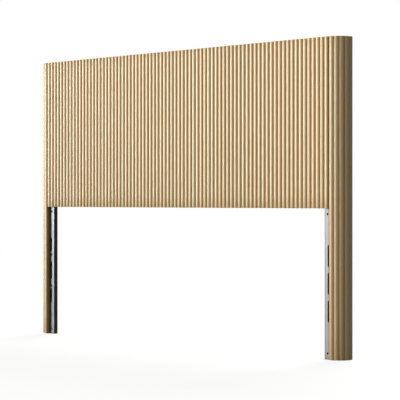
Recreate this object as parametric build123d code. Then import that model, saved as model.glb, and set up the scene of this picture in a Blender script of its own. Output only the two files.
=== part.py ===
from build123d import *
import math
import os

# A queen-size headboard: a board of upright half-round reeds between two quarter-round legs that are
# reeded the same way, with a slotted steel bracket inside each leg for the rails of a bed.
# Lengths are millimetres. X runs along the board, Y from the bed to the wall, Z up from the floor.
# The origin is on the floor, in the middle of the width and of the depth.

# The whole headboard
overall_height = 1200.0
panel_underside = 562.0
leg_radius = 60.0
seam_gap = 2.0

# Reeds, which are straight half-round mouldings with flat backs
reed_count = 77
reed_pitch = 20.0
reed_rise = 4.5
reed_joint = 0.3
reeds_per_sheet = 11

# Boards and timbers
face_board = 12.0
back_board = 6.0
rail_height = 45.0
stile_width = 45.0
center_stile_count = 3
stave_thickness = 13.0
side_board = 9.0
post_width = 16.0
rib_thickness = 12.0
cap_thickness = 12.0
foot_block_height = 20.0
foot_pad = 1.5
foot_pad_inset = 2.0
lower_rib_shares = (0.25, 0.5, 0.75)
upper_rib_shares = (0.3, 0.7)

# Steel bracket
bracket_width = 40.0
plate_thickness = 2.5
channel_depth = 19.0
channel_wall = 2.5
channel_bend = 3.5
slot_count = 3
slot_pitch = 103.0
slot_length = 81.0
slot_width = 10.5
end_hole_diameter = 8.0
end_hole_inset = 21.0
end_hole_shift = 6.0
channel_foot_height = 12.0

# Connector bolts, barrel nuts and dowels between a leg and the board, all on one line above the other
joint_inset = 15.0
bolt_grip = 8.0
bolt_diameter = 6.0
bolt_head_diameter = 14.0
bolt_head_height = 2.5
bolt_socket = 4.0
bolt_socket_depth = 1.5
bolt_past_nut = 5.0
nut_diameter = 10.0
nut_length = 14.0
nut_inset = 30.0
dowel_diameter = 8.0
dowel_in_post = 9.0
dowel_in_stile = 20.0
bolt_height_shares = (0.12, 0.5, 0.88)
dowel_height_shares = (0.26, 0.74)

# Bolts and square weld nuts between a leg and its bracket
bracket_bolt_diameter = 5.0
bracket_bolt_head_diameter = 9.0
bracket_bolt_past_nut = 2.0
weld_nut_width = 8.0
weld_nut_thickness = 4.0
bracket_bolt_height_shares = (0.1, 0.36, 0.64, 0.9)

# Room left round pins and inlaid parts, and how far a cutter runs past what it cuts
fit = 0.3
overrun = 1.0

# Hidden pins, bolts and their holes have this many sides, and so do keys' sockets and the web's openings
pin_sides = 8
socket_sides = 6
web_opening_sides = 16

# Derived planes, seen from above
quarter_turn = 90
panel_width = reed_count * reed_pitch
panel_end = panel_width / 2
seam = panel_end + seam_gap
overall_depth = leg_radius + reed_rise
back_plane = overall_depth / 2
face_plane = back_plane - leg_radius
frame_front = face_plane + face_board
frame_back = back_plane - back_board
rebate_plane = face_plane + stave_thickness
post_inner = seam + side_board
post_outer = post_inner + post_width
leg_outer = seam + leg_radius
head_seat = post_inner + bolt_grip

# Derived heights
panel_height = overall_height - panel_underside
leg_height = overall_height - foot_pad
cap_underside = overall_height - cap_thickness
foot_block_top = foot_pad + foot_block_height

# Derived sizes of the bracket
bracket_outer = post_inner
bracket_inner = bracket_outer - bracket_width
bracket_middle = (bracket_outer + bracket_inner) / 2
bracket_length = panel_underside - foot_pad
bracket_center_height = (panel_underside + foot_pad) / 2
lowest_slot = bracket_center_height - slot_pitch * (slot_count - 1) / 2
slot_heights = [lowest_slot + slot_pitch * number for number in range(slot_count)]
end_hole_x = bracket_middle - end_hole_shift
end_hole_heights = (foot_pad + end_hole_inset, panel_underside - end_hole_inset)
plate_back = rebate_plane + plate_thickness
bracket_back = plate_back + channel_depth
web_front = bracket_back - channel_wall
flange_inside = bracket_outer - channel_wall
bracket_bolt_plane = web_front - channel_bend - weld_nut_width / 2
bracket_bolt_tip = flange_inside - weld_nut_thickness - bracket_bolt_past_nut

# Derived places of the fasteners
joint_plane = frame_back - joint_inset
nut_axis = panel_end - nut_inset
bolt_tip = nut_axis - bolt_past_nut
bolt_heights = [panel_underside + share * panel_height for share in bolt_height_shares]
dowel_heights = [panel_underside + share * panel_height for share in dowel_height_shares]
bracket_bolt_heights = [foot_pad + share * bracket_length for share in bracket_bolt_height_shares]

# A leg's stave and the flat back of its reed are a chord of the leg's radius, as long as the reeds' pitch
reed_half_angle = math.degrees(math.asin(reed_pitch / 2 / leg_radius))
reed_angle = 2 * reed_half_angle
leg_reed_count = math.ceil(quarter_turn / reed_angle)
leg_flat_radius = leg_radius * math.cos(math.radians(reed_half_angle))
staves_inside = leg_flat_radius - stave_thickness


# Plain solids

def slab(x_low, x_high, y_low, y_high, z_low, z_high):
    """A box between two corners."""
    middle = Pos((x_low + x_high) / 2, (y_low + y_high) / 2, (z_low + z_high) / 2)
    return middle * Box(x_high - x_low, y_high - y_low, z_high - z_low)


def pin_along_x(x_low, x_high, y, z, diameter, sides=pin_sides):
    """A pin of flat sides between two X values."""
    outline = RegularPolygon(diameter / 2, sides)
    return Pos(x_low, y, z) * Rot(Y=quarter_turn) * extrude(outline, x_high - x_low)


def pin_along_y(x, y_low, y_high, z, diameter, sides=pin_sides):
    """A pin of flat sides between two Y values."""
    outline = RegularPolygon(diameter / 2, sides)
    return Pos(x, y_high, z) * Rot(X=quarter_turn) * extrude(outline, y_high - y_low)


def save(name, shape):
    """Write one node."""
    os.makedirs("parts", exist_ok=True)
    export_step(shape, "parts/" + name + ".step")


def save_pair(name, right_shape):
    """Write a node of the right leg and its mirror image on the left leg."""
    save("right_" + name, right_shape)
    save("left_" + name, mirror(right_shape, about=Plane.YZ))


# Reeds

def reed(height):
    """One half-round moulding that stands on the floor, its flat back on the XZ plane."""
    half_width = (reed_pitch - reed_joint) / 2
    crown = ThreePointArc((-half_width, 0), (0, -reed_rise), (half_width, 0))
    flat = Line((half_width, 0), (-half_width, 0))
    return extrude(make_face(crown + flat), height, dir=(0, 0, 1))


def panel_reed_sheet(first):
    """A sheet of neighbouring reeds on the board, from the reed with this number."""
    strip = reed(panel_height)
    last = min(first + reeds_per_sheet, reed_count)
    places = [-panel_end + (number + 0.5) * reed_pitch for number in range(first, last)]
    return Compound(children=[Pos(x, face_plane, panel_underside) * strip for x in places])


def leg_reeds():
    """The leg's reeds, each on its own flat, the last one cut off at the back plane."""
    strip = Pos(0, -leg_flat_radius, 0) * reed(leg_height)
    behind = slab(seam - leg_radius, seam + 2 * leg_radius, back_plane, back_plane + leg_radius,
                  0, overall_height + overrun)
    turned = []
    for number in range(leg_reed_count):
        angle = (number + 0.5) * reed_angle
        turned.append(Pos(seam, back_plane, foot_pad) * Rot(Z=angle) * strip)
    turned[-1] = turned[-1] - behind
    return Compound(children=[piece.solid() for piece in turned])


# The board

def center_stile_places():
    """Middles of the stiles between the two end stiles."""
    bay = panel_width / (center_stile_count + 1)
    return [-panel_end + bay * (number + 1) for number in range(center_stile_count)]


def panel_face():
    """The board that carries the reeds."""
    return slab(-panel_end, panel_end, face_plane, frame_front, panel_underside, overall_height)


def panel_back():
    """The thin board that closes the frame from behind."""
    return slab(-panel_end, panel_end, frame_back, back_plane, panel_underside, overall_height)


def panel_rail(z_low):
    """A rail along the whole board, from this height up."""
    return slab(-panel_end, panel_end, frame_front, frame_back, z_low, z_low + rail_height)


def plain_stile(x_middle):
    """A stile between the rails."""
    return slab(x_middle - stile_width / 2, x_middle + stile_width / 2, frame_front, frame_back,
                panel_underside + rail_height, overall_height - rail_height)


def end_stile():
    """The right end stile, bored for the bolts, the barrel nuts and the dowels of its leg."""
    stile = plain_stile(panel_end - stile_width / 2)
    bolt_holes = [pin_along_x(bolt_tip - fit, panel_end + overrun, joint_plane, z, bolt_diameter + 2 * fit)
                  for z in bolt_heights]
    nut_holes = [pin_along_y(nut_axis, joint_plane - nut_length / 2, frame_back + overrun, z,
                             nut_diameter + 2 * fit) for z in bolt_heights]
    dowel_holes = [pin_along_x(panel_end - dowel_in_stile - fit, panel_end + overrun, joint_plane, z,
                               dowel_diameter + 2 * fit) for z in dowel_heights]
    return stile - bolt_holes - nut_holes - dowel_holes


# The right leg

def leg_corners(flat_radius):
    """Corners of the leg's many-sided outline whose flats lie this far from the leg's axis."""
    radius = flat_radius / math.cos(math.radians(reed_half_angle))
    angles = [math.radians(number * reed_angle) for number in range(leg_reed_count + 1)]
    return [(radius * math.sin(angle), -radius * math.cos(angle)) for angle in angles]


def leg_slice(flat_radius, x_range, y_range, z_low, z_high):
    """The part of the many-sided leg with flats at this radius that lies in these ranges."""
    outline = make_face(Polyline((0, 0), *leg_corners(flat_radius), close=True))
    prism = Pos(seam, back_plane, z_low) * extrude(outline, z_high - z_low, dir=(0, 0, 1))
    return prism & slab(*x_range, *y_range, z_low, z_high)


def leg_shell():
    """The coopered shell: a bevelled stave behind each reed, the first rebated, the last cut off."""
    outside = leg_corners(leg_flat_radius)
    inside = leg_corners(staves_inside)
    behind = slab(seam - leg_radius, seam + 2 * leg_radius, back_plane, back_plane + leg_radius,
                  0, overall_height + overrun)
    rebate = slab(seam - overrun, post_inner + fit, rebate_plane, rebate_plane + stave_thickness,
                  0, overall_height + overrun)
    staves = []
    for number in range(leg_reed_count):
        section = Polyline(outside[number], outside[number + 1], inside[number + 1], inside[number],
                           close=True)
        stave = extrude(make_face(section), leg_height, dir=(0, 0, 1))
        staves.append(Pos(seam, back_plane, foot_pad) * stave)
    staves[0] = staves[0] - rebate
    staves[-1] = staves[-1] - behind
    return Compound(children=[stave.solid() for stave in staves])


def leg_side_board():
    """The board that closes the leg towards the bed, notched for the bracket."""
    board = slab(seam, post_inner, rebate_plane, frame_back, foot_pad, overall_height)
    notch = slab(seam - overrun, post_inner + overrun, rebate_plane - overrun, bracket_back,
                 0, panel_underside)
    bolt_holes = [pin_along_x(seam - overrun, post_inner + overrun, joint_plane, z, bolt_diameter + 2 * fit)
                  for z in bolt_heights]
    dowel_holes = [pin_along_x(seam - overrun, post_inner + overrun, joint_plane, z, dowel_diameter + 2 * fit)
                   for z in dowel_heights]
    return board - notch - bolt_holes - dowel_holes


def leg_core(x_range, z_low, z_high):
    """A slice of the space inside the staves, in front of the back board."""
    return leg_slice(staves_inside - fit, x_range, (face_plane, frame_back), z_low, z_high)


def leg_back():
    """The thin board that closes the leg from behind, as wide as the staves leave room."""
    return leg_slice(staves_inside - fit, (seam, leg_outer), (frame_back, back_plane), foot_pad,
                     overall_height)


def sunk_bolt_hole(y, z, diameter, head_diameter):
    """A bolt hole through the post, with room for the head that is sunk into its outer face."""
    shank = pin_along_x(post_inner - overrun, head_seat + overrun, y, z, diameter + 2 * fit)
    head = pin_along_x(head_seat, post_outer + overrun, y, z, head_diameter + 2 * fit)
    return shank + head


def leg_post():
    """The timber post that ties staves, bracket, side board and back board together."""
    post = leg_core((post_inner, post_outer), foot_block_top, cap_underside)
    bolt_holes = [sunk_bolt_hole(joint_plane, z, bolt_diameter, bolt_head_diameter) for z in bolt_heights]
    dowel_holes = [pin_along_x(post_inner - overrun, post_inner + dowel_in_post + fit, joint_plane, z,
                               dowel_diameter + 2 * fit) for z in dowel_heights]
    bracket_holes = [sunk_bolt_hole(bracket_bolt_plane, z, bracket_bolt_diameter, bracket_bolt_head_diameter)
                     for z in bracket_bolt_heights]
    return post - bolt_holes - dowel_holes - bracket_holes


def leg_ribs():
    """Formers between post and staves, which hold the staves in their ring."""
    lower = [foot_pad + share * bracket_length for share in lower_rib_shares]
    upper = [panel_underside + share * panel_height for share in upper_rib_shares]
    return Compound(children=[leg_core((post_outer, leg_outer), z, z + rib_thickness).solid()
                              for z in lower + upper])


def leg_cap():
    """The lid let into the top of the leg."""
    return leg_core((post_inner, leg_outer), cap_underside, overall_height)


def leg_foot_block():
    """The block let into the bottom of the leg, under the post."""
    return leg_core((post_inner, leg_outer), foot_pad, foot_block_top)


def leg_foot_pad():
    """A felt pad under the leg, set in from its outside and clear of the bracket's shoe."""
    pad = leg_slice(leg_flat_radius - foot_pad_inset, (seam, leg_outer),
                    (face_plane, back_plane - foot_pad_inset), 0, foot_pad)
    shoe_space = slab(seam - overrun, bracket_outer + fit, rebate_plane - fit, bracket_back + fit,
                      0, foot_pad)
    return pad - shoe_space


# The bracket in the right leg

def bracket_openings(y_low, y_high):
    """Round-ended cutters for the row of slots and the two end holes, through these Y values."""
    slots = []
    for z in slot_heights:
        outline = SlotOverall(slot_length, slot_width, rotation=quarter_turn)
        center = Pos(bracket_middle, y_high, z)
        slots.append(center * Rot(X=quarter_turn) * extrude(outline, y_high - y_low))
    drill = Rot(X=quarter_turn) * extrude(Circle(end_hole_diameter / 2), y_high - y_low)
    return slots + [Pos(end_hole_x, y_high, z) * drill for z in end_hole_heights]


def web_openings(y_low, y_high):
    """The same openings with ends of flat sides, for the channel's web."""
    reach = (slot_length - slot_width) / 2
    cutters = []
    for z in slot_heights:
        cutters.append(slab(bracket_middle - slot_width / 2, bracket_middle + slot_width / 2, y_low, y_high,
                            z - reach, z + reach))
        for end in (z - reach, z + reach):
            cutters.append(pin_along_y(bracket_middle, y_low, y_high, end, slot_width, web_opening_sides))
    for z in end_hole_heights:
        cutters.append(pin_along_y(end_hole_x, y_low, y_high, z, end_hole_diameter, web_opening_sides))
    return cutters


def slotted_plate():
    """The bright face plate, with slots for the bed's bolts."""
    plate = slab(bracket_inner, bracket_outer, rebate_plane, plate_back, foot_pad, panel_underside)
    return plate - bracket_openings(rebate_plane - overrun, plate_back + overrun)


def bracket_channel():
    """The folded steel channel that the plate closes, its web towards the wall and slotted like the plate."""
    outside = slab(bracket_inner, bracket_outer, plate_back - channel_bend, bracket_back, foot_pad,
                   panel_underside)
    outside = fillet(outside.edges().filter_by(Axis.Z), channel_bend)
    inside = slab(bracket_inner + channel_wall, bracket_outer - channel_wall, plate_back - 2 * channel_bend,
                  web_front, foot_pad - overrun, panel_underside + overrun)
    inside = fillet(inside.edges().filter_by(Axis.Z), channel_bend - channel_wall)
    front = slab(bracket_inner - overrun, bracket_outer + overrun, plate_back - 3 * channel_bend, plate_back,
                 0, overall_height)
    bolt_holes = [pin_along_x(flange_inside - overrun, bracket_outer + overrun, bracket_bolt_plane, z,
                              bracket_bolt_diameter + 2 * fit) for z in bracket_bolt_heights]
    channel = outside - inside - front
    return channel - web_openings(web_front - overrun, bracket_back + overrun) - bolt_holes


def channel_foot():
    """The plastic shoe that the channel and the plate stand on."""
    sole = slab(bracket_inner, bracket_outer, rebate_plane, bracket_back, 0, foot_pad)
    plug = slab(bracket_inner + channel_wall + fit, bracket_outer - channel_wall - fit,
                plate_back + fit, web_front - fit, foot_pad, foot_pad + channel_foot_height)
    return sole + plug


def weld_nuts():
    """Square nuts welded inside the channel's outer flange."""
    nuts = []
    for z in bracket_bolt_heights:
        block = slab(flange_inside - weld_nut_thickness, flange_inside,
                     bracket_bolt_plane - weld_nut_width / 2, bracket_bolt_plane + weld_nut_width / 2,
                     z - weld_nut_width / 2, z + weld_nut_width / 2)
        bore = pin_along_x(flange_inside - weld_nut_thickness - overrun, flange_inside + overrun,
                           bracket_bolt_plane, z, bracket_bolt_diameter + 2 * fit)
        nuts.append((block - bore).solid())
    return Compound(children=nuts)


def sunk_bolt(tip, y, z, diameter, head_diameter):
    """A flat-head bolt whose head is sunk into the outside of the post."""
    head_end = head_seat + bolt_head_height
    shank = pin_along_x(tip, head_seat, y, z, diameter)
    head = pin_along_x(head_seat, head_end, y, z, head_diameter)
    socket = pin_along_x(head_end - bolt_socket_depth, head_end + overrun, y, z, bolt_socket, socket_sides)
    return (shank + head - socket).solid()


def bracket_bolts():
    """Bolts through the post into the weld nuts of the bracket."""
    return Compound(children=[sunk_bolt(bracket_bolt_tip, bracket_bolt_plane, z, bracket_bolt_diameter,
                                        bracket_bolt_head_diameter) for z in bracket_bolt_heights])


# Fasteners between the right leg and the board

def connector_bolts():
    """Flat-head bolts through post, side board and end stile."""
    return Compound(children=[sunk_bolt(bolt_tip, joint_plane, z, bolt_diameter, bolt_head_diameter)
                              for z in bolt_heights])


def barrel_nuts():
    """Cross dowels in the end stile that the bolts screw into."""
    nuts = []
    for z in bolt_heights:
        barrel = pin_along_y(nut_axis, joint_plane - nut_length / 2, joint_plane + nut_length / 2, z,
                             nut_diameter)
        bore = pin_along_x(nut_axis - nut_diameter, nut_axis + nut_diameter, joint_plane, z,
                           bolt_diameter + 2 * fit)
        nuts.append((barrel - bore).solid())
    return Compound(children=nuts)


def dowels():
    """Wooden dowels that line the leg up with the board."""
    return Compound(children=[pin_along_x(panel_end - dowel_in_stile, post_inner + dowel_in_post, joint_plane,
                                          z, dowel_diameter).solid() for z in dowel_heights])


# Writing the nodes

for sheet_number, first_reed in enumerate(range(0, reed_count, reeds_per_sheet), start=1):
    save("panel_reeds_" + str(sheet_number), panel_reed_sheet(first_reed))
save("panel_face_board", panel_face())
save("panel_back_board", panel_back())
save("panel_top_rail", panel_rail(overall_height - rail_height))
save("panel_bottom_rail", panel_rail(panel_underside))
save("panel_center_stiles", Compound(children=[plain_stile(x).solid() for x in center_stile_places()]))
save_pair("panel_end_stile", end_stile())
save_pair("leg_reeds", leg_reeds())
save_pair("leg_shell", leg_shell())
save_pair("leg_side_board", leg_side_board())
save_pair("leg_back_board", leg_back())
save_pair("leg_post", leg_post())
save_pair("leg_ribs", leg_ribs())
save_pair("leg_cap", leg_cap())
save_pair("leg_foot_block", leg_foot_block())
save_pair("leg_foot_pad", leg_foot_pad())
save_pair("slotted_plate", slotted_plate())
save_pair("bracket_channel", bracket_channel())
save_pair("channel_foot", channel_foot())
save_pair("weld_nuts", weld_nuts())
save_pair("bracket_bolts", bracket_bolts())
save_pair("connector_bolts", connector_bolts())
save_pair("barrel_nuts", barrel_nuts())
save_pair("dowels", dowels())
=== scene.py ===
import logging
import math
from collections.abc import Iterable, Mapping
from dataclasses import dataclass
from enum import Enum

import bmesh
import bpy
import numpy as np
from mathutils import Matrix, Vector


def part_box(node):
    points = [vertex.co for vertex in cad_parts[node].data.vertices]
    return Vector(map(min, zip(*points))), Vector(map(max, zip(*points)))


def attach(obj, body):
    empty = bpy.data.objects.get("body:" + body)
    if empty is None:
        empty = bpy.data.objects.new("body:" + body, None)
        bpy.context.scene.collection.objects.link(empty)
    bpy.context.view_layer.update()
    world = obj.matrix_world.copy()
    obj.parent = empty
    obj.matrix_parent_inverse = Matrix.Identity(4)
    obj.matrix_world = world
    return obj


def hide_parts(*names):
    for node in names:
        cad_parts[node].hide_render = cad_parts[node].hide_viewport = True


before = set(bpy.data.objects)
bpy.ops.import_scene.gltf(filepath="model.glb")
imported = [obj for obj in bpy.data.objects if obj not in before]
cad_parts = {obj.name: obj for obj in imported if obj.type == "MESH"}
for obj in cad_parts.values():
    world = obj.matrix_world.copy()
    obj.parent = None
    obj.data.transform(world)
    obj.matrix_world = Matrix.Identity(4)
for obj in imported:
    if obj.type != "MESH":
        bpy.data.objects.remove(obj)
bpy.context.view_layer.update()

# The looks of a reeded oak headboard: reeds, boards, screws, brackets and their finishes, in a plain studio.
# Lengths are metres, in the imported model's frame: X along the board, Y from the bed to the wall, Z up.

BODY = "root"
SIDES = ("left", "right")
MM = 0.001
QUARTER = math.pi / 2
log = logging.getLogger("headboard")

# Points nearer than this are one, and faces that turn less than this are one flat.
WELD = 0.001 * MM
FLAT_ANGLE = math.radians(1)

# An edge of an eased node that turns more than the first of these is shaded sharp, and one that turns more
# than the second is cut back.
SHARP_ANGLE = math.radians(30)
EASED_ANGLE = math.radians(40)

# What the random draws start from.
BOARD_SEED = 7
LEG_SEEDS = {"left": 12, "right": 21}
NAME_SEEDS = 97


# Colours and shader expressions

Rgb = tuple[float, float, float]
Point = tuple[float, float, float]
Span = tuple[float, float]
WHITE = (1.0, 1.0, 1.0)

# The middle of every noise and lottery, and an even share of two things.
HALF = 0.5


def srgb(red: int, green: int, blue: int) -> Rgb:
    """The linear colour of a display colour with channels from 0 to 255, by the sRGB curve."""
    shares = (channel / 255 for channel in (red, green, blue))
    return tuple(s / 12.92 if s <= 0.04045 else ((s + 0.055) / 1.055) ** 2.4 for s in shares)


def opaque(colour: Rgb) -> tuple[float, float, float, float]:
    """A colour with full alpha, as Blender's colour sockets take it."""
    return (*colour, 1.0)


class Wire:
    """An output socket of a node, on the bench that made it."""

    def __init__(self, bench: "Bench", socket: bpy.types.NodeSocket) -> None:
        """Keeps the bench and the socket.

        Args:
            bench: The bench whose tree holds the socket.
            socket: The output that this wire starts from.
        """
        self.bench = bench
        self.socket = socket


class Value(Wire):
    """A number that varies over a surface. Arithmetic on it adds the Math nodes that work it out."""

    def math(self, operation: str, *others: "Value | float", clamp: bool = False) -> "Value":
        """Adds a Math node.

        Args:
            operation: Blender's name of the operation.
            others: What the node's further sockets hold.
            clamp: Whether the result is kept from 0 to 1.

        Returns:
            The node's result.
        """
        return self.bench.math(operation, self, *others, clamp=clamp)

    def __add__(self, other: "Value | float") -> "Value":
        """The sum."""
        return self.math("ADD", other)

    __radd__ = __add__

    def __sub__(self, other: "Value | float") -> "Value":
        """This less the other."""
        return self.math("SUBTRACT", other)

    def __rsub__(self, other: float) -> "Value":
        """The other less this."""
        return self.bench.math("SUBTRACT", other, self)

    def __mul__(self, other: "Value | float") -> "Value":
        """The product."""
        return self.math("MULTIPLY", other)

    __rmul__ = __mul__

    def __truediv__(self, other: "Value | float") -> "Value":
        """This divided by the other."""
        return self.math("DIVIDE", other)

    def __abs__(self) -> "Value":
        """The size without the sign."""
        return self.math("ABSOLUTE")

    def fraction(self) -> "Value":
        """What is left above the next lower whole number."""
        return self.math("FRACT")

    def step(self, low: float, high: float) -> "Value":
        """A smooth rise from 0 at low to 1 at high, or a fall where low is the larger.

        Args:
            low: Where the result is 0.
            high: Where the result is 1.

        Returns:
            The smoothed share.
        """
        settings = {"interpolation_type": "SMOOTHSTEP"}
        inputs = {"Value": self, "From Min": low, "From Max": high}
        return Value(self.bench, self.bench.node("ShaderNodeMapRange", settings, inputs).outputs[0])


class Place(Wire):
    """A point that varies over a surface."""

    def scaled(self, factors: Point) -> "Place":
        """The point with each coordinate multiplied.

        Args:
            factors: One factor for each of X, Y and Z.

        Returns:
            The stretched point.
        """
        return self._combined("MULTIPLY", factors)

    def moved(self, offset: "Place | Point") -> "Place":
        """The point with an offset added.

        Args:
            offset: How far, in each of X, Y and Z.

        Returns:
            The moved point.
        """
        return self._combined("ADD", offset)

    def _combined(self, operation: str, other: "Place | Point") -> "Place":
        """The result of a Vector Math node on this and another."""
        made = self.bench.node("ShaderNodeVectorMath", {"operation": operation}, {0: self, 1: other})
        return Place(self.bench, made.outputs[0])

    def split(self) -> tuple[Value, Value, Value]:
        """The three coordinates as values."""
        made = self.bench.node("ShaderNodeSeparateXYZ", {}, {0: self})
        return tuple(Value(self.bench, output) for output in made.outputs[:3])


class Tint(Wire):
    """A colour that varies over a surface."""

    def mixed(self, other: "Tint | Rgb", share: "Value | float") -> "Tint":
        """The colour with a share of it changed to another.

        Args:
            other: The colour to go towards.
            share: How far, from 0 to 1.

        Returns:
            The mixed colour.
        """
        return self.bench.blend("MIX", self, other, share)

    def darkened(self, other: "Tint | Rgb", share: "Value | float" = 1.0) -> "Tint":
        """The colour multiplied by another.

        Args:
            other: The colour to multiply by.
            share: How much of the product is taken, from 0 to 1.

        Returns:
            The product.
        """
        return self.bench.blend("MULTIPLY", self, other, share)


class Bench:
    """A node tree, and the one way in which this script adds nodes to it."""

    # The sockets of a Mix node that mixes colours.
    MIX_SHARE = 0
    MIX_FIRST = 6
    MIX_SECOND = 7
    MIX_RESULT = 2

    def __init__(self, tree: bpy.types.NodeTree) -> None:
        """Takes over a tree and empties it.

        Args:
            tree: The tree of a material or of the world.
        """
        self.tree = tree
        tree.nodes.clear()

    def node(self, kind: str, settings: Mapping[str, object] | None = None,
             inputs: Mapping[str | int, object] | None = None) -> bpy.types.Node:
        """Adds a node, sets it and then fills its sockets.

        Args:
            kind: Blender's name of the node type.
            settings: Properties of the node, set before its sockets are filled.
            inputs: What each socket holds: a wire, a number, a point or a colour.

        Returns:
            The node.
        """
        made = self.tree.nodes.new(kind)
        for key, value in (settings or {}).items():
            setattr(made, key, value)
        for key, value in (inputs or {}).items():
            target = made.inputs[key]
            if isinstance(value, Wire):
                self.tree.links.new(value.socket, target)
            elif target.type == "RGBA":
                target.default_value = opaque(value)
            else:
                target.default_value = value
        return made

    def math(self, operation: str, *terms: Value | float, clamp: bool = False) -> Value:
        """Adds a Math node on these terms and returns its result."""
        made = self.node("ShaderNodeMath", {"operation": operation, "use_clamp": clamp},
                         dict(enumerate(terms)))
        return Value(self, made.outputs[0])

    def blend(self, kind: str, first: Tint | Rgb, second: Tint | Rgb, share: Value | float) -> Tint:
        """Adds a colour Mix node.

        Args:
            kind: Blender's name of the blend type.
            first: The colour at share 0.
            second: The colour that is blended in.
            share: How much of it, from 0 to 1.

        Returns:
            The blended colour.
        """
        made = self.node("ShaderNodeMix", {"data_type": "RGBA", "blend_type": kind},
                         {self.MIX_SHARE: share, self.MIX_FIRST: first, self.MIX_SECOND: second})
        return Tint(self, made.outputs[self.MIX_RESULT])

    def mixed_shader(self, share: Value, first: bpy.types.Node, second: bpy.types.Node) -> Wire:
        """Adds a Mix Shader node.

        Args:
            share: How much of the second shader, from 0 to 1.
            first: The node of the shader at share 0.
            second: The node of the shader at share 1.

        Returns:
            The mixed shader.
        """
        made = self.node("ShaderNodeMixShader", {}, {0: share, 1: Wire(self, first.outputs[0]),
                                                     2: Wire(self, second.outputs[0])})
        return Wire(self, made.outputs[0])

    def place(self) -> Place:
        """The shaded point in the object's own coordinates."""
        return Place(self, self.node("ShaderNodeTexCoord").outputs["Object"])

    def point(self, *coordinates: Value) -> Place:
        """The point with these coordinates."""
        made = self.node("ShaderNodeCombineXYZ", {}, dict(enumerate(coordinates)))
        return Place(self, made.outputs[0])

    def facing(self) -> Place:
        """The surface's direction in the object's own coordinates."""
        return Place(self, self.node("ShaderNodeTexCoord").outputs["Normal"])

    def mark(self, name: str) -> Value:
        """A number that the mesh carries under this name."""
        made = self.node("ShaderNodeAttribute", {"attribute_name": name})
        return Value(self, made.outputs["Fac"])

    def noise(self, at: Place, scale: float = 1.0, detail: float = 2.0, roughness: float = 0.5) -> Value:
        """Smooth noise about one half.

        Args:
            at: The point that it is read at.
            scale: Waves per unit of the point.
            detail: How many finer layers are added.
            roughness: How strong each finer layer is.

        Returns:
            The noise, from 0 to 1.
        """
        made = self.node("ShaderNodeTexNoise", {}, {"Vector": at, "Scale": scale, "Detail": detail,
                                                    "Roughness": roughness})
        return Value(self, made.outputs[0])

    def cells(self, at: Place, scale: float) -> Value:
        """A random number for each cell of a scattered pattern.

        Args:
            at: The point that it is read at.
            scale: Cells per unit of the point.

        Returns:
            The cell's number, from 0 to 1.
        """
        made = self.node("ShaderNodeTexVoronoi", {}, {"Vector": at, "Scale": scale})
        return Place(self, made.outputs["Color"]).split()[0]

    def lottery(self, seed: Value) -> Value:
        """A random number from 0 to 1 that a seed settles."""
        made = self.node("ShaderNodeTexWhiteNoise", {"noise_dimensions": "1D"}, {"W": seed})
        return Value(self, made.outputs["Value"])

    def bump(self, height: Value, depth: float) -> Wire:
        """The surface's direction on a relief.

        Args:
            height: The relief, from 0 to 1.
            depth: Its full depth in metres.

        Returns:
            The direction for a shader's Normal socket.
        """
        made = self.node("ShaderNodeBump", {}, {"Distance": depth, "Height": height})
        return Wire(self, made.outputs[0])

    def principled(self, **sockets: object) -> None:
        """Ends the tree in a Principled BSDF.

        Args:
            sockets: Its sockets by name, with _ for a space.
        """
        named = {key.replace("_", " "): value for key, value in sockets.items()}
        made = self.node("ShaderNodeBsdfPrincipled", {}, named)
        self.node("ShaderNodeOutputMaterial", {}, {"Surface": Wire(self, made.outputs[0])})


def new_material(name: str) -> tuple[bpy.types.Material, Bench]:
    """An empty material with its bench.

    Args:
        name: The material's name.

    Returns:
        The material, and the bench that its nodes are added on.
    """
    material = bpy.data.materials.new(name)
    material.use_nodes = True
    return material, Bench(material.node_tree)


# Finishes

class Grain(Enum):
    """The way that a board's grain runs, as the stretch of its pattern along X, Y and Z."""

    UPRIGHT = (1.0, 1.0, 0.012)
    LEVEL = (0.012, 1.0, 1.0)


@dataclass(frozen=True)
class Layer:
    """A layer of smooth noise: its waves per metre, its finer layers, and its stretch in X, Y and Z."""

    scale: float
    detail: float = 2.0
    roughness: float = 0.5
    stretch: Point | None = None

    def at(self, bench: Bench, place: Place) -> Value:
        """The noise at a point.

        Args:
            bench: The bench that its nodes are added on.
            place: The point that it is read at.

        Returns:
            The noise, from 0 to 1.
        """
        read = place.scaled(self.stretch) if self.stretch else place
        return bench.noise(read, self.scale, self.detail, self.roughness)


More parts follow.
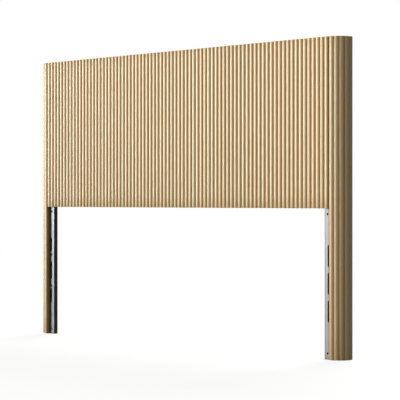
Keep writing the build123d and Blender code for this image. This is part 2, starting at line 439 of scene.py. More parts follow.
@dataclass(frozen=True)
class Timber:
    """Straight-grained wood with growth rings, pores, fibres and slow changes of tone and cast.

    The rings are the fraction of a field that climbs steadily across the board and that slow noise bends.
    The pores are short dashes, most of them in each ring's early wood. Each piece has a tone of its own and
    a cast that drifts along it. A reed's colour is darkened towards its grooves, and more at its feet beside
    the seams at the legs, which is painted shade.
    """

    name: str
    pale: Rgb = srgb(226, 203, 164)
    deep: Rgb = srgb(204, 172, 124)
    pore: Rgb = srgb(170, 134, 92)
    grain: Grain = Grain.UPRIGHT
    ring_width: float = 1.7 * MM
    ring_strength: float = 0.18
    pore_strength: float = 0.25
    tone_spread: float = 0.2
    fibre_strength: float = 0.7
    mottle_strength: float = 0.7
    piece_spread: float = 0.4
    cast_drift: float = 2.0
    roughness: float = 0.6
    gloss: float = 0.3
    warm_cast: Rgb = (1.0, 0.92, 0.80)
    cool_cast: Rgb = (0.93, 0.98, 0.95)
    end_shade: Rgb = (0.62, 0.56, 0.48)
    # Painted shade: how a reed's colour darkens towards its grooves and at its feet beside the seams, and
    # where the groove's darkening is full.
    painted_groove_shade: Rgb = (0.76, 0.60, 0.36)
    groove_end: float = 0.9
    painted_seam_shade: Rgb = (0.42, 0.33, 0.22)
    relief: float = 0.03 * MM

    # How far a seed moves the pattern, and how the rings climb along X, Y and Z.
    seed_shift: Point = (3.7, 1.9, 2.3)
    cast_shift: float = 0.5
    slant: Point = (1.0, 0.6, 0.8)

    # The layers of noise, and by how many rings the first one bends them.
    bend: Layer = Layer(12, 1)
    bend_rings: float = 3.0
    fibre: Layer = Layer(900, 3, 0.65, (1.0, 1.0, 2.0))
    dash: Layer = Layer(2600, 1)
    slow: Layer = Layer(9)
    mottle: Layer = Layer(170, 2, 0.6, (1.0, 1.0, 0.7))
    drift: Layer = Layer(60, stretch=(1.0, 1.0, 0.15))

    # Where in a ring the early wood fades and the next begins, and how much of the pores each wood has.
    early_fade: Span = (0.5, 0.05)
    early_start: Span = (0.9, 1.0)
    early_pores: float = 0.8
    late_pores: float = 0.2
    dash_edge: Span = (0.56, 0.68)

    # The depth of tone without noise, and the lottery's number that leaves it as it is.
    base_depth: float = 0.25
    plain_piece: float = 0.4

    # Where the groove's number gives the painted seam shade, how far an end's direction follows the grain,
    # and how rough pores are.
    seam_range: Span = (1.0, 2.0)
    end_facing: Span = (0.6, 0.9)
    pore_roughness: float = 0.15

    def material(self) -> bpy.types.Material:
        """Builds the finish as a material."""
        material, bench = new_material(self.name)
        seed = bench.mark("seed")
        place = bench.place().moved(bench.point(*(seed * factor for factor in self.seed_shift)))
        along = place.scaled(self.grain.value)
        across = sum(coordinate * weight for coordinate, weight in zip(along.split(), self.slant))
        ring = (across / self.ring_width + self.bend.at(bench, along) * self.bend_rings).fraction()
        early = ring.step(*self.early_fade) + ring.step(*self.early_start)
        dashes = self.dash.at(bench, along).step(*self.dash_edge)
        pores = dashes * (early * self.early_pores + self.late_pores)
        depth = (early * self.ring_strength
                 + (self.slow.at(bench, along) - HALF) * self.tone_spread
                 + (self.fibre.at(bench, along) - HALF) * self.fibre_strength
                 + (self.mottle.at(bench, place) - HALF) * self.mottle_strength
                 + (bench.lottery(seed) - self.plain_piece) * self.piece_spread)
        colour = bench.blend("MIX", self.pale, self.deep, depth.math("ADD", self.base_depth, clamp=True))
        colour = colour.mixed(self.pore, pores * self.pore_strength)
        drift = (self.drift.at(bench, place) - HALF) * self.cast_drift
        cast = bench.lottery(seed + self.cast_shift).math("ADD", drift, clamp=True)
        colour = colour.darkened(bench.blend("MIX", self.warm_cast, self.cool_cast, cast))
        # Painted shade: darker towards the grooves, and darker still at the feet beside the seams.
        groove = bench.mark("groove")
        colour = colour.darkened(self.painted_groove_shade, groove.step(0.0, self.groove_end))
        colour = colour.darkened(self.painted_seam_shade, groove.step(*self.seam_range))
        lengthwise = bench.facing().split()[0 if self.grain is Grain.LEVEL else 2]
        colour = colour.darkened(self.end_shade, abs(lengthwise).step(*self.end_facing))
        bench.principled(Base_Color=colour, Roughness=pores * self.pore_roughness + self.roughness,
                         Normal=bench.bump(1 - pores, self.relief), Specular_IOR_Level=self.gloss)
        return material


@dataclass(frozen=True)
class LacqueredOak(Timber):
    """Light oak under a thin clear lacquer, which fills most of the pores."""

    pale: Rgb = (0.605, 0.470, 0.260)
    deep: Rgb = (0.470, 0.325, 0.140)
    pore: Rgb = (0.280, 0.165, 0.070)
    roughness: float = 0.36
    gloss: float = 0.55
    relief: float = 0.012 * MM


@dataclass(frozen=True)
class Mottled:
    """Metal, coat, plastic or felt with fine cloudy mottling.

    Half of the mottling is a random number for each cell of a scattered pattern, and half is finer noise.
    """

    name: str
    colour: Rgb
    second: Rgb
    metallic: float = 1.0
    roughness: float = 0.3
    roughness_spread: float = 0.1
    gloss: float = 0.5
    grain_size: float = 6 * MM
    fine_waves: float = 6.0
    fine_detail: float = 3.0
    relief: float = 0.01 * MM

    def material(self) -> bpy.types.Material:
        """Builds the finish as a material."""
        material, bench = new_material(self.name)
        place = bench.place()
        spangle = bench.cells(place, 1 / self.grain_size)
        fine = bench.noise(place, self.fine_waves / self.grain_size, self.fine_detail)
        colour = bench.blend("MIX", self.colour, self.second, spangle * HALF + fine * HALF)
        roughness = self.roughness + (spangle - HALF) * self.roughness_spread
        bench.principled(Base_Color=colour, Roughness=roughness, Metallic=self.metallic,
                         Specular_IOR_Level=self.gloss, Normal=bench.bump(fine, self.relief))
        return material


@dataclass(frozen=True)
class ZincPlate:
    """Zinc-plated sheet steel with a fine spangle, black on its edges and both long margins as painted
    shade.

    The spangle is a random number for each cell of a scattered pattern, mixed half and half with noise that
    is stretched upwards. A face counts as an edge where its direction leaves the plate's own, and as margin
    where it is too near to or too far from the middle of the headboard. The black margin far from the middle
    is a painted shadow of the leg on the plate, and the black edges and near margin are painted shade on the
    bend.
    """

    name: str
    bright: Rgb = (0.25, 0.255, 0.268)
    dull: Rgb = (0.225, 0.23, 0.242)
    # Painted shade: the black of the plate's edges and margins, and how rough it is.
    painted_shade: Rgb = (0.012, 0.012, 0.013)
    metallic: float = 0.35
    roughness: float = 0.3
    painted_shade_roughness: float = 0.5
    gloss: float = 0.3
    spangle_size: float = 5 * MM
    spangle_roughness: float = 0.08
    brush_waves: float = 3.0
    brush_stretch: Point = (1.0, 1.0, 0.06)
    face_facing: Span = (0.80, 0.97)
    # Where the painted shade begins, near to and far from the middle of the headboard.
    inner_shade_line: float = 744 * MM
    outer_shade_line: float = 760.5 * MM
    shade_line_blur: float = 0.5 * MM
    relief: float = 0.01 * MM

    def material(self) -> bpy.types.Material:
        """Builds the finish as a material."""
        material, bench = new_material(self.name)
        place = bench.place()
        spangle = bench.cells(place, 1 / self.spangle_size)
        brushed = Layer(self.brush_waves / self.spangle_size, stretch=self.brush_stretch).at(bench, place)
        zinc = bench.blend("MIX", self.bright, self.dull, spangle * HALF + brushed * HALF)
        # Painted shade: black on the edges and beyond the two lines, for the leg's shadow and the shade on
        # the bend.
        outward = abs(place.split()[0])
        unshaded = (outward.step(self.inner_shade_line - self.shade_line_blur, self.inner_shade_line)
                * outward.step(self.outer_shade_line + self.shade_line_blur, self.outer_shade_line))
        face = unshaded * abs(bench.facing().split()[1]).step(*self.face_facing)
        colour = bench.blend("MIX", self.painted_shade, zinc, face)
        zinc_roughness = spangle * self.spangle_roughness + self.roughness
        roughness = zinc_roughness * face + (1 - face) * self.painted_shade_roughness
        bench.principled(Base_Color=colour, Roughness=roughness, Metallic=face * self.metallic,
                         Specular_IOR_Level=self.gloss, Normal=bench.bump(brushed, self.relief))
        return material


FINISHES = {
    "oak_veneer": LacqueredOak("oak_reeds"),
    "oak_edge": LacqueredOak("oak_upright"),
    "oak_level": LacqueredOak("oak_level", grain=Grain.LEVEL),
    "pine": Timber("planed_pine", srgb(232, 205, 156), srgb(205, 160, 98), srgb(178, 132, 80),
                   ring_width=5 * MM, pore_strength=0.1),
    "plywood": Timber("birch_plywood", grain=Grain.LEVEL, ring_width=55 * MM, ring_strength=0.15,
                      pore_strength=0.15),
    "birch_upright": Timber("birch_upright", ring_width=14 * MM, ring_strength=0.3, pore_strength=0.15),
    "birch_dowel": Timber("birch", srgb(228, 208, 172), srgb(210, 182, 138), srgb(180, 146, 104),
                          Grain.LEVEL, ring_width=3 * MM, pore_strength=0.1),
    "zinc_steel": ZincPlate("zinc_plate"),
    "black_steel": Mottled("black_powder_coat", (0.010, 0.010, 0.011), (0.015, 0.015, 0.015),
                           metallic=0.0, roughness=0.5, gloss=0.15, grain_size=1.2 * MM,
                           relief=0.03 * MM),
    "bright_screw": Mottled("bright_screw", (0.66, 0.66, 0.64), (0.58, 0.58, 0.57), roughness=0.28),
    "black_plastic": Mottled("moulded_plastic", (0.02, 0.02, 0.02), (0.028, 0.028, 0.028),
                             metallic=0.0, roughness=0.6, gloss=0.3, grain_size=0.8 * MM,
                             relief=0.02 * MM),
    "felt": Mottled("brown_felt", srgb(98, 78, 60), srgb(74, 58, 44), metallic=0.0, roughness=0.95,
                    gloss=0.05, grain_size=0.7 * MM, relief=0.3 * MM),
}


class Workshop:
    """Makes each finish once, and hands it to the pieces."""

    def __init__(self) -> None:
        """Starts with no finish made."""
        self.made: dict[str, bpy.types.Material] = {}

    def finish(self, name: str) -> bpy.types.Material:
        """The material of a finish.

        Args:
            name: A key of the table of finishes.

        Returns:
            The material, made at the first call.
        """
        if name not in self.made:
            self.made[name] = FINISHES[name].material()
        return self.made[name]

    def dress(self, node: str, finish: str) -> None:
        """Gives a CAD node a finish.

        Args:
            node: The node's name.
            finish: A key of the table of finishes.
        """
        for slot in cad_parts[node].material_slots:
            slot.material = self.finish(finish)
        log.info("%s is dressed in %s", node, finish)


# Meshes from arrays

@dataclass
class Shell:
    """Points and faces of closed surfaces, with a seed and a groove's depth for each point."""

    points: np.ndarray
    faces: list[list[int]]
    seeds: np.ndarray
    grooves: np.ndarray


def tubes(rings: np.ndarray, seeds: np.ndarray, grooves: np.ndarray) -> Shell:
    """Closed tubes through rings of points, with a flat face on each end.

    Args:
        rings: The points as tube, ring along the tube, point round the ring, and X, Y and Z. The points run
            anticlockwise as seen from the tube's last ring.
        seeds: One seed for each tube.
        grooves: How deep in a groove each point of each tube's rings lies.

    Returns:
        All tubes as one shell.
    """
    count, rows, around, _ = rings.shape
    index = np.arange(count * rows * around).reshape(count, rows, around)
    ahead = np.roll(index, -1, axis=2)
    sides = np.stack([index[:, :-1], ahead[:, :-1], ahead[:, 1:], index[:, 1:]], axis=-1).reshape(-1, 4)
    ends = np.concatenate([index[:, 0, ::-1], index[:, -1]])
    return Shell(rings.reshape(-1, 3), sides.tolist() + ends.tolist(), np.repeat(seeds, rows * around),
                 np.repeat(grooves, rows, axis=0).ravel())


def together(shells: Iterable[Shell]) -> Shell:
    """Several shells as one.

    Args:
        shells: The shells.

    Returns:
        One shell with all their points and faces.
    """
    shells = list(shells)
    starts = np.cumsum([0] + [len(shell.points) for shell in shells])
    faces = [[corner + int(start) for corner in face]
             for shell, start in zip(shells, starts) for face in shell.faces]
    return Shell(np.concatenate([shell.points for shell in shells]), faces,
                 np.concatenate([shell.seeds for shell in shells]),
                 np.concatenate([shell.grooves for shell in shells]))


def finish_mesh(mesh: bpy.types.Mesh, crease: float, marks: Mapping[str, np.ndarray],
                material: bpy.types.Material) -> None:
    """Shades a mesh smooth but for its sharp edges, and gives it its marks and its finish.

    Args:
        mesh: The mesh.
        crease: The least angle between two faces that keeps their edge sharp.
        marks: The numbers that the finish reads at each point, by name.
        material: The finish.
    """
    mesh.polygons.foreach_set("use_smooth", np.ones(len(mesh.polygons), bool))
    mesh.set_sharp_from_angle(angle=crease)
    for name, values in marks.items():
        mesh.attributes.new(name, "FLOAT", "POINT").data.foreach_set("value", values.astype(np.float32))
    mesh.materials.append(material)
    mesh.update()


def put_in(name: str, mesh: bpy.types.Mesh, nodes: Iterable[str]) -> bpy.types.Object:
    """Puts a mesh into the scene as a piece that rides on the body.

    Args:
        name: The piece's name.
        mesh: Its mesh.
        nodes: The CAD nodes that the piece replaces.

    Returns:
        The piece.
    """
    made = bpy.data.objects.new(name, mesh)
    bpy.context.scene.collection.objects.link(made)
    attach(made, BODY)
    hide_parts(*nodes)
    log.info("%s has %d faces", name, len(mesh.polygons))
    return made


def add_piece(name: str, shell: Shell, material: bpy.types.Material,
              nodes: Iterable[str] = (), crease: float = math.radians(35)) -> None:
    """Makes a piece of a shell.

    Args:
        name: The piece's name.
        shell: Its points and faces.
        material: Its finish.
        nodes: The CAD nodes that the piece replaces.
        crease: The least angle between two faces that keeps their edge sharp.
    """
    mesh = bpy.data.meshes.new(name)
    mesh.from_pydata(shell.points.tolist(), [], shell.faces)
    finish_mesh(mesh, crease, {"seed": shell.seeds, "groove": shell.grooves}, material)
    put_in(name, mesh, nodes)


def ease_node(node: str, material: bpy.types.Material, width: float, rolled: float = 0.0) -> None:
    """Puts a copy of a CAD node with eased arrises in the node's place.

    Every edge between two flats is cut back by the width and rounded in two steps. Solids of the node that
    touch each other would be welded together, so it has none.

    Args:
        node: The node's name.
        material: Its finish.
        width: How far the edges are cut back, in metres.
        rolled: The radius of the long front edge next to the middle of the headboard, or 0.
    """
    name = node + "_eased"
    work = bmesh.new()
    work.from_mesh(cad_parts[node].data)
    bmesh.ops.remove_doubles(work, verts=work.verts, dist=WELD)
    bmesh.ops.dissolve_limit(work, angle_limit=FLAT_ANGLE, verts=work.verts, edges=work.edges)
    if rolled:
        low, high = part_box(node)
        inner = min(abs(low.x), abs(high.x))
        edges = [edge for edge in work.edges
                 if all(abs(abs(end.co.x) - inner) < WELD and abs(end.co.y - low.y) < WELD
                        for end in edge.verts)]
        bmesh.ops.bevel(work, geom=edges, offset=rolled, segments=4, profile=0.5, affect="EDGES")
    mesh = bpy.data.meshes.new(name)
    work.to_mesh(mesh)
    work.free()
    seed = (sum(node.encode()) % NAME_SEEDS) / NAME_SEEDS
    finish_mesh(mesh, SHARP_ANGLE, {"seed": np.full(len(mesh.vertices), seed)}, material)
    bevel = put_in(name, mesh, [node]).modifiers.new("ease", "BEVEL")
    bevel.width = width
    bevel.segments = 2
    bevel.limit_method = "ANGLE"
    bevel.angle_limit = EASED_ANGLE
    bevel.harden_normals = True


# Screws

@dataclass(frozen=True)
class Screw:
    """A countersunk wood screw with a cross recess.

    Its head is turned: the radius against the depth runs up the shank and the cone to the rim. The recess
    is pressed into the top. For the share r of the head's radius and the angle t round the axis, its arms go
    down with the root of (1 - r / arm) |cos 2t|^4, and a bowl in their middle with (1 - r / bowl).
    """

    head: float = 4.0 * MM
    shank: float = 1.6 * MM
    cone: float = 2.4 * MM
    length: float = 6.0 * MM
    proud: float = 0.25 * MM
    seat: float = 0.97
    rim_height: float = 0.4
    rim: float = 0.95
    land: float = 0.80
    recess: float = 1.6 * MM
    arm: float = 0.62
    arm_power: float = 4.0
    arm_depth: float = 0.9
    bowl: float = 0.3
    bowl_depth: float = 0.6
    inside: tuple[float, ...] = (0.54, 0.46, 0.38, 0.28, 0.18, 0.08)
    around: int = 32
    crease: float = math.radians(25)

    def rings(self, places: np.ndarray) -> np.ndarray:
        """The rings of screws that point along -Y.

        Args:
            places: The middles of the heads, on the surface that the screws are driven into.

        Returns:
            Screw, ring from the shank's end to the middle of the head, point round the ring, and X, Y and Z.
        """
        angle = np.linspace(0, 2 * math.pi, self.around, endpoint=False)
        outer = np.array([[self.shank, -self.length], [self.shank, -self.cone], [self.head * self.seat, 0.0],
                          [self.head, self.proud * self.rim_height], [self.head * self.rim, self.proud]])
        share = np.array([self.land, self.arm, *self.inside])
        radius = np.concatenate([outer[:, 0], share * self.head])[:, None] * np.ones(self.around)
        arms = np.clip(1 - share / self.arm, 0, None)[:, None] * np.abs(np.cos(2 * angle)) ** self.arm_power
        bowl = np.clip(1 - share / self.bowl, 0, None)[:, None]
        top = self.proud - self.recess * np.maximum(np.sqrt(arms) * self.arm_depth, bowl * self.bowl_depth)
        height = np.concatenate([outer[:, 1:] * np.ones(self.around), top])
        ring = np.stack([radius * np.sin(angle), height, radius * np.cos(angle)], -1)
        return places[:, None, None, :] + ring


# Reeds

@dataclass(frozen=True)
class Reed:
    """A half-round moulding with a flat back, its ends slightly eased.

    Its section is the arc x = R sin a, depth = R (cos a - cos b), where b is half the arc's angle.
    """

    width: float
    rise: float
    ease: float = 0.5 * MM
    arc_steps: int = 20
    turn_steps: int = 3
    length_steps: int = 14
    seam_from: float = 0.25
    sway: float = 0.04 * MM
    sway_waves: tuple[Span, ...] = ((9.0, 40.0), (23.0, 90.0))

    @property
    def radius(self) -> float:
        """The radius of the arc."""
        return ((self.width / 2) ** 2 + self.rise ** 2) / (2 * self.rise)

    def section(self, cut: float | None = None) -> np.ndarray:
        """The ring of the section.

        Args:
            cut: How far right of the middle the reed is cut off, or None where it is whole.

        Returns:
            Pairs of x and depth, from the right foot over the crown to the left foot.
        """
        half = math.asin(self.width / 2 / self.radius)
        right = half if cut is None else math.asin(cut / self.radius)
        angles = np.linspace(right, -half, self.arc_steps + 1)
        ring = np.stack([self.radius * np.sin(angles), self.radius * (np.cos(angles) - math.cos(half))], -1)
        return ring if cut is None else np.concatenate([[[cut, 0.0]], ring])

    def grooves(self, cut: float | None = None, seam: int = 0, closed: float = 1.0) -> np.ndarray:
        """How deep in a groove each point of the section lies, which sets the reeds' painted shade.

        It is c (1 - depth / rise), where c is closed. Beside a seam it climbs on to 2, evenly from
        seam_from widths off the middle to the foot.

        Args:
            cut: Where the reed is cut off right of its middle, or None.
            seam: On which side an open seam follows, 1 for right and -1 for left, or 0 for none.
            closed: The groove's depth at a foot, 1 in a flat board and less where the reeds spread.

        Returns:
            From 0 on the crown to closed at a foot, and up to 2 at a foot beside a seam.
        """
        section = self.section(cut)
        side = seam * section[:, 0] / self.width
        beside = np.clip((side - self.seam_from) / (HALF - self.seam_from), 0, 1)
        return (1 - section[:, 1] / self.rise) * closed + beside * (2 - closed)

    def rings(self, places: np.ndarray, low: float, high: float, seeds: np.ndarray,
              cut: float | None = None) -> np.ndarray:
        """The rings of upright reeds whose backs lie in a plane.

        Each ring is the section, drawn in at the ends by e (1 - sin t) at the height e (1 - cos t), and
        swayed sideways by slow sines whose phases the seeds settle.

        Args:
            places: The middles of the reeds along the plane.
            low: The height of their lower ends.
            high: The height of their upper ends.
            seeds: One seed for each reed.
            cut: Where the reeds are cut off right of their middle, or None.

        Returns:
            Reed, ring, point, and the three coordinates: along the plane, depth out of it, height.
        """
        turn = np.linspace(0, QUARTER, self.turn_steps + 1)
        middle = np.linspace(low + self.ease, high - self.ease, self.length_steps + 1)[1:-1]
        rise = self.ease * (1 - np.cos(turn))
        heights = np.concatenate([low + rise, middle, (high - rise)[::-1]])
        drawn = self.ease * (1 - np.sin(turn))
        inset = np.concatenate([drawn, np.zeros(len(middle)), drawn[::-1]])
        section = self.section(cut)
        scale = 1 - inset / self.rise
        sway = self.sway * sum(np.sin(heights * wave + seeds[:, None] * phase)
                               for wave, phase in self.sway_waves)
        shape = (len(places), len(heights), len(section))
        x = places[:, None, None] + section[:, 0] * scale[:, None] + sway[:, :, None]
        depth = np.broadcast_to(section[:, 1] * scale[:, None], shape)
        return np.stack([np.broadcast_to(x, shape), depth, np.broadcast_to(heights[:, None], shape)], -1)


@dataclass(frozen=True)
class Reeding:
    """What the board's and the legs' reeds have in common."""

    on_board: int = 77
    sheets: int = 7
    on_leg: int = 5
    joint: float = 0.3 * MM

    @property
    def pitch(self) -> float:
        """From one reed's middle to the next."""
        low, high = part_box("panel_face_board")
        return (high.x - low.x) / self.on_board

    @property
    def reed(self) -> Reed:
        """The reed's size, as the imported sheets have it."""
        low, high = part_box("panel_reeds_1")
        return Reed(self.pitch - self.joint, high.y - low.y)


@dataclass
class ReededBoard:
    """The board between the legs, with its sheets of reeds, its frame and its screwed back."""

    workshop: Workshop
    reeding: Reeding = Reeding()
    ease: float = 0.5 * MM
    screws_along: int = 8
    screws_up: int = 3
    screw_inset: float = 22.5 * MM
    screw: Screw = Screw()

    def build(self) -> None:
        """Makes and dresses the board."""
        self.add_reeds()
        for node, finish, slot in (("panel_face_board", "oak_edge", "oak_veneer"),
                                   ("panel_top_rail", "oak_level", "oak_edge"),
                                   ("panel_bottom_rail", "oak_level", "oak_edge"),
                                   ("panel_back_board", "plywood", "plywood")):
            ease_node(node, self.workshop.finish(finish), self.ease)
        self.workshop.dress("panel_center_stiles", "pine")
        for side in SIDES:
            self.workshop.dress(side + "_panel_end_stile", "pine")
        self.add_screws()

    def add_reeds(self) -> None:
        """Makes the sheets of reeds, each in its node's place. The outermost ones get painted shade at their
        feet beside the legs.
        """
        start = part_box("panel_face_board")[0].x
        random = np.random.default_rng(BOARD_SEED)
        reed, pitch = self.reeding.reed, self.reeding.pitch
        per_sheet = self.reeding.on_board // self.reeding.sheets
        for number in range(self.reeding.sheets):
            node = "panel_reeds_" + str(number + 1)
            low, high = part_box(node)
            places = start + pitch * (np.arange(per_sheet) + number * per_sheet + HALF)
            seeds = random.random(per_sheet)
            rings = reed.rings(places, low.z, high.z, seeds)
            rings[..., 1] = high.y - rings[..., 1]
            grooves = np.tile(reed.grooves()[::-1], (per_sheet, 1))
            if number == 0:
                grooves[0] = reed.grooves(seam=-1)[::-1]
            if number == self.reeding.sheets - 1:
                grooves[-1] = reed.grooves(seam=1)[::-1]
            add_piece("reed_sheet_" + str(number + 1), tubes(rings[:, :, ::-1], seeds, grooves),
                      self.workshop.finish("oak_veneer"), [node])

    def add_screws(self) -> None:
        """Puts the screws of the back board along the rails and up the stiles."""
        low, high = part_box("panel_back_board")
        along = np.linspace(low.x + self.screw_inset, high.x - self.screw_inset, self.screws_along)
        rails = [(x, z) for z in (low.z + self.screw_inset, high.z - self.screw_inset) for x in along]
        inner_low, inner_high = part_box("panel_center_stiles")
        middle = (inner_low.x + inner_high.x) / 2
        stiles = (along[0], inner_low.x + self.screw_inset, middle, inner_high.x - self.screw_inset,
                  along[-1])
        up = np.linspace(low.z, high.z, self.screws_up + 2)[1:-1]
        spots = np.array([(x, high.y, z) for x, z in rails + [(x, z) for x in stiles for z in up]])
        drive_screws("back_board_screws", self.screw, spots, self.workshop)


def drive_screws(name: str, screw: Screw, spots: np.ndarray, workshop: Workshop) -> None:
    """Puts screws in, their heads towards +Y.

    Args:
        name: The piece's name.
        screw: Their size.
        spots: The middles of their heads.
        workshop: Where their finish comes from.
    """
    rings = screw.rings(spots)
    shell = tubes(rings, np.linspace(0, 1, len(spots)), np.zeros((len(spots), screw.around)))
    add_piece(name, shell, workshop.finish("bright_screw"), crease=screw.crease)


@dataclass
class ReededLeg:
    """A quarter-round leg with the same reeds, its board towards the bed, its back, cap and foot.

    The shell's staves touch each other, so they keep their CAD shape and only get a finish.
    """

    workshop: Workshop
    side: str
    reeding: Reeding = Reeding()
    ease: float = 0.5 * MM
    # The share of the painted groove shade on the leg's reeds, less than on the board as they spread round
    # the curve.
    closed: float = 0.45
    screws: int = 5
    screw_x: float = 789 * MM
    screw_inset: float = 60 * MM
    screw: Screw = Screw()

    @property
    def sign(self) -> int:
        """1 on the right, -1 on the left."""
        return 1 if self.side == "right" else -1

    def build(self) -> None:
        """Makes and dresses the leg."""
        self.add_reeds()
        for part, finish, slot in (("leg_side_board", "oak_edge", "oak_edge"),
                                   ("leg_back_board", "birch_upright", "plywood"),
                                   ("leg_cap", "oak_level", "oak_edge"), ("leg_foot_block", "pine", "pine")):
            ease_node(self.side + "_" + part, self.workshop.finish(finish), self.ease)
        for part, finish in (("leg_shell", "oak_edge"), ("leg_post", "pine"), ("leg_ribs", "plywood"),
                             ("leg_foot_pad", "felt"), ("connector_bolts", "bright_screw"),
                             ("barrel_nuts", "bright_screw"), ("dowels", "birch_dowel")):
            self.workshop.dress(self.side + "_" + part, finish)
        low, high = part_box(self.side + "_leg_back_board")
        up = np.linspace(low.z + self.screw_inset, high.z - self.screw_inset, self.screws)
        spots = np.array([(self.sign * self.screw_x, high.y, z) for z in up])
        drive_screws(self.side + "_back_screws", self.screw, spots, self.workshop)

    def add_reeds(self) -> None:
        """Makes the leg's reeds round its axis, the last one cut off at the back.

        The rings of reed n are made for a plane, set out to the flat's distance R cos h from the axis and
        turned round it by (2 n + 1) h, where R is the shell's radius and h half the angle of one reed.
        """
        node = self.side + "_leg_reeds"
        sign = self.sign
        low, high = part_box(node)
        shell_low, shell_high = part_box(self.side + "_leg_shell")
        reed, pitch = self.reeding.reed, self.reeding.pitch
        axis_x = shell_low.x if sign > 0 else shell_high.x
        axis_y = shell_high.y
        radius = shell_high.y - shell_low.y
        half = math.asin(pitch / 2 / radius)
        flat = radius * math.cos(half)
        seeds = np.random.default_rng(LEG_SEEDS[self.side]).random(self.reeding.on_leg)
        shells = []
        for number in range(self.reeding.on_leg):
            angle = (2 * number + 1) * half
            last = number == self.reeding.on_leg - 1
            cut = flat / math.tan(angle) if last else None
            # The first reed also gets the painted seam shade at its foot beside the board.
            grooves = reed.grooves(cut, -1 if number == 0 else 0, self.closed)
            rings = reed.rings(np.zeros(1), low.z, high.z, seeds[number:number + 1], cut)
            along, out, height = rings[..., 0], flat + rings[..., 1], rings[..., 2]
            x = out * math.sin(angle) + along * math.cos(angle)
            y = -out * math.cos(angle) + along * math.sin(angle)
            turned = np.stack([axis_x + sign * x, np.minimum(axis_y + y, axis_y), height], -1)
            order = slice(None, None, -sign)
            shells.append(tubes(turned[:, :, order], seeds[number:number + 1], grooves[None, order]))
        add_piece(self.side + "_reeds", together(shells), self.workshop.finish("oak_veneer"),
                  [node])


@dataclass
class BedBracket:
    """The slotted steel bracket in a leg."""

    workshop: Workshop
    side: str
    ease: float = 0.2 * MM
    plate_roll: float = 2.0 * MM

    def build(self) -> None:
        """Makes and dresses the bracket."""
        for part, finish, rolled in (("slotted_plate", "zinc_steel", self.plate_roll),
                                     ("bracket_channel", "black_steel", 0.0)):
            ease_node(self.side + "_" + part, self.workshop.finish(finish), self.ease, rolled)
        for part, finish in (("channel_foot", "black_plastic"), ("weld_nuts", "bright_screw"),
                             ("bracket_bolts", "bright_screw")):
            self.workshop.dress(self.side + "_" + part, finish)


# The studio

@dataclass(frozen=True)
class Lamp:
    """A sun lamp, given by where its light comes from."""

    name: str
    azimuth: float
    elevation: float
    level: float
    spread: float
    colour: Rgb = WHITE

    def add(self) -> None:
        """Adds the lamp. A level of 1 shows a facing surface in its own colour."""
        data = bpy.data.lights.new(self.name, "SUN")
        data.energy = self.level * math.pi
        data.angle = math.radians(self.spread)
        data.color = self.colour
        lamp = bpy.data.objects.new(self.name, data)
        around, up = math.radians(self.azimuth), math.radians(self.elevation)
        source = Vector((math.sin(around) * math.cos(up), -math.cos(around) * math.cos(up), math.sin(up)))
        lamp.rotation_euler = source.to_track_quat("Z", "Y").to_euler()
        bpy.context.scene.collection.objects.link(lamp)


def seen(bench: Bench) -> Value:
    """1 for a ray that shows the background itself, in a reflection or through glass, else 0."""
    path = bench.node("ShaderNodeLightPath")
    camera, glossy, through = (Value(bench, path.outputs[name])
                               for name in ("Is Camera Ray", "Is Glossy Ray", "Is Transmission Ray"))
    return camera.math("MAXIMUM", glossy).math("MAXIMUM", through)


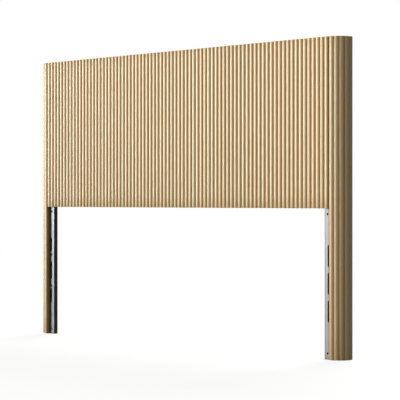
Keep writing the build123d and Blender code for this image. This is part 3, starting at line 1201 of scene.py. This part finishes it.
@dataclass(frozen=True)
class Studio:
    """Camera, lamps, world and floor.

    The camera stands level at the photograph's angle. Azimuth 0 looks along +Y and grows towards +X.
    """

    camera_place: Point = (3.8545, -4.2244, 0.5990)
    camera_azimuth: float = 41.5678
    focal_pixels: float = 1400.0
    frame_pixels: float = 400.0
    horizon_pixel: float = 198.5
    sensor: float = 36.0
    key: Lamp = Lamp("key", azimuth=-58, elevation=5, level=1.2, spread=32)
    front: Lamp = Lamp("front", azimuth=-20, elevation=5, level=0.44, spread=24, colour=(1.0, 0.98, 0.95))
    fill: Lamp = Lamp("fill", azimuth=80, elevation=15, level=0.09, spread=40, colour=(1.0, 0.76, 0.42))
    rear: Lamp = Lamp("rear", azimuth=-160, elevation=40, level=1.0, spread=30)
    ambient: Rgb = (0.01, 0.009, 0.007)
    floor_colour: Rgb = (0.08, 0.08, 0.08)
    floor_glow: float = 0.91
    floor_shadow: float = 0.11
    floor_reach: float = 8.0

    def build(self) -> None:
        """Makes the studio."""
        self.add_camera()
        self.add_world()
        self.add_floor()
        for lamp in (self.key, self.front, self.fill, self.rear):
            lamp.add()
        bpy.context.scene.view_settings.view_transform = "Standard"

    def add_camera(self) -> None:
        """Adds the camera, level, with its horizon where the photograph has it."""
        data = bpy.data.cameras.new("camera")
        data.sensor_width = self.sensor
        data.lens = self.sensor * self.focal_pixels / self.frame_pixels
        data.shift_y = (self.horizon_pixel - self.frame_pixels / 2) / self.frame_pixels
        data.clip_end = 2 * self.floor_reach
        camera = bpy.data.objects.new("camera", data)
        camera.location = self.camera_place
        camera.rotation_euler = (QUARTER, 0.0, math.radians(self.camera_azimuth))
        bpy.context.scene.collection.objects.link(camera)
        bpy.context.scene.camera = camera

    def add_world(self) -> None:
        """Makes the world white where it is seen, and dim where it only lights."""
        world = bpy.data.worlds.new("studio")
        world.use_nodes = True
        bench = Bench(world.node_tree)
        dim = bench.node("ShaderNodeBackground", {}, {"Color": self.ambient, "Strength": 1.0})
        white = bench.node("ShaderNodeBackground", {}, {"Color": WHITE, "Strength": 1.0})
        bench.node("ShaderNodeOutputWorld", {}, {"Surface": bench.mixed_shader(seen(bench), dim, white)})
        bpy.context.scene.world = world

    def add_floor(self) -> None:
        """Adds the floor, which shows white with a soft shadow and is plain where it only lights."""
        material, bench = new_material("floor")
        plain = bench.node("ShaderNodeBsdfDiffuse", {}, {"Color": self.floor_colour})
        shade = bench.node("ShaderNodeBsdfDiffuse", {}, {"Color": (self.floor_shadow,) * 3})
        glow = bench.node("ShaderNodeEmission", {}, {"Color": WHITE, "Strength": self.floor_glow})
        shown = bench.node("ShaderNodeAddShader", {}, {0: Wire(bench, shade.outputs[0]),
                                                       1: Wire(bench, glow.outputs[0])})
        mixed = bench.mixed_shader(seen(bench), plain, shown)
        bench.node("ShaderNodeOutputMaterial", {}, {"Surface": mixed})
        reach = self.floor_reach
        corners = [(-reach, -reach, 0), (reach, -reach, 0), (reach, reach, 0), (-reach, reach, 0)]
        mesh = bpy.data.meshes.new("floor")
        mesh.from_pydata(corners, [], [(0, 1, 2, 3)])
        mesh.materials.append(material)
        floor = bpy.data.objects.new("floor", mesh)
        bpy.context.scene.collection.objects.link(floor)


def main() -> None:
    """Builds the studio and the headboard."""
    logging.basicConfig(level=logging.INFO, format="%(name)s: %(message)s")
    Studio().build()
    workshop = Workshop()
    ReededBoard(workshop).build()
    for side in SIDES:
        ReededLeg(workshop, side).build()
        BedBracket(workshop, side).build()


if __name__ == "__main__":
    main()
